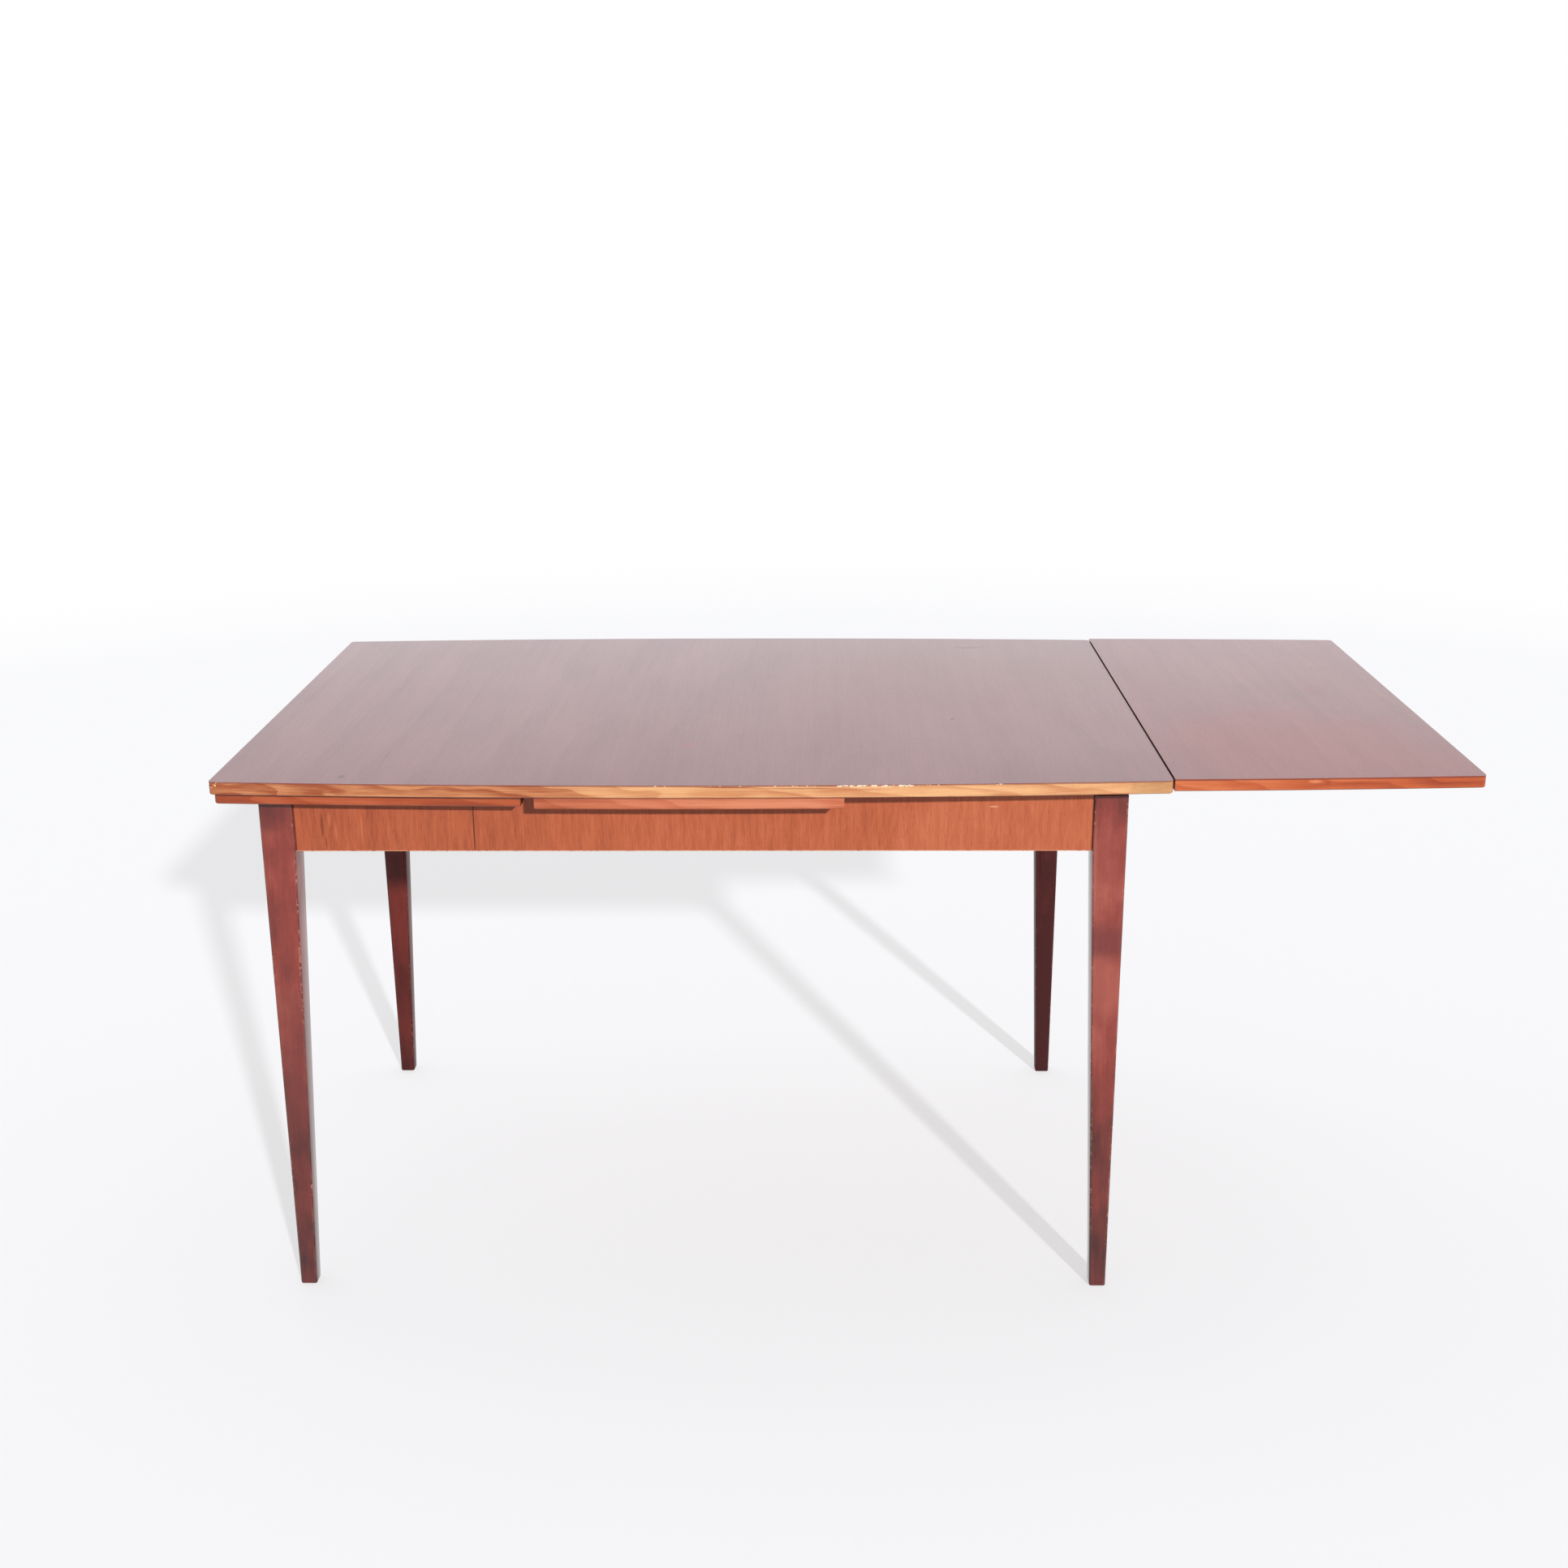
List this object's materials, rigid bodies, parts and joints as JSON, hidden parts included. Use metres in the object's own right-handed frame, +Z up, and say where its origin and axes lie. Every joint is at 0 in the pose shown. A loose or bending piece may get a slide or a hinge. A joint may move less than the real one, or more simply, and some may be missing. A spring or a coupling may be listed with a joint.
{
  "type": "extending dining table",
  "caption": "Wooden extending dining table with a bowed top on tapered square legs and draw leaves on tapered runners, with the right leaf drawn out level with the top.",
  "frame": {"origin": "on the floor, at the centre of the underside of the bounding box, which is under the middle of the table's length with its right leaf out", "axes": "+X along the table towards the drawn right leaf, +Y from the front edge to the rear edge, +Z up"},
  "size_m": [1.6154, 0.8298, 0.752],
  "materials": {
    "veneer": "satin varnish over a red-brown veneer",
    "lipping": "glossy worn honey varnish",
    "board": "plain sanded board",
    "apron": "satin varnish over a reddish veneer",
    "leg": "satin dark red-brown varnish",
    "rail": "plain planed hardwood",
    "peg": "plain turned hardwood",
    "screw": "plain steel"
  },
  "bodies": {
    "frame": {"apron_front": "apron", "apron_left": "apron", "apron_rear": "apron", "apron_right": "apron", "centre_board": "board", "centre_board_lipping_front": "lipping", "centre_board_lipping_rear": "lipping", "centre_board_screws": "screw", "corner_block_front_left": "rail", "corner_block_front_right": "rail", "corner_block_rear_left": "rail", "corner_block_rear_right": "rail", "cross_rail_left": "rail", "cross_rail_right": "rail", "leg_front_left": "leg", "leg_front_right": "leg", "leg_rear_left": "leg", "leg_rear_right": "leg", "right_leaf_core": "board", "right_leaf_lipping_front": "lipping", "right_leaf_lipping_inner": "lipping", "right_leaf_lipping_outer": "lipping", "right_leaf_lipping_rear": "lipping", "right_leaf_runner_front": "rail", "right_leaf_runner_rear": "rail", "right_leaf_screws": "screw", "right_leaf_stop_front": "rail", "right_leaf_stop_rear": "rail", "right_leaf_veneer": "veneer"},
    "top": {"guide_peg_front": "peg", "guide_peg_rear": "peg", "top_core": "board", "top_lipping_front": "lipping", "top_lipping_left": "lipping", "top_lipping_rear": "lipping", "top_lipping_right": "lipping", "top_veneer": "veneer"},
    "left_leaf": {"left_leaf_core": "board", "left_leaf_lipping_front": "lipping", "left_leaf_lipping_inner": "lipping", "left_leaf_lipping_outer": "lipping", "left_leaf_lipping_rear": "lipping", "left_leaf_runner_front": "rail", "left_leaf_runner_rear": "rail", "left_leaf_screws": "screw", "left_leaf_stop_front": "rail", "left_leaf_stop_rear": "rail", "left_leaf_veneer": "veneer"}
  },
  "joints": [
    {"name": "left_leaf_draw", "type": "slide", "parent": "frame", "child": "left_leaf", "axis": [-0.9988, 0, 0.0491], "range_m": [0, 0.39748]},
    {"name": "top_lift", "type": "slide", "parent": "frame", "child": "top", "axis": [0, 0, 1], "range_m": [0, 0.0195]}
  ],
  "couplings": [
    {"joint": "top_lift", "follows": "left_leaf_draw", "ratio": 0.049059}
  ]
}
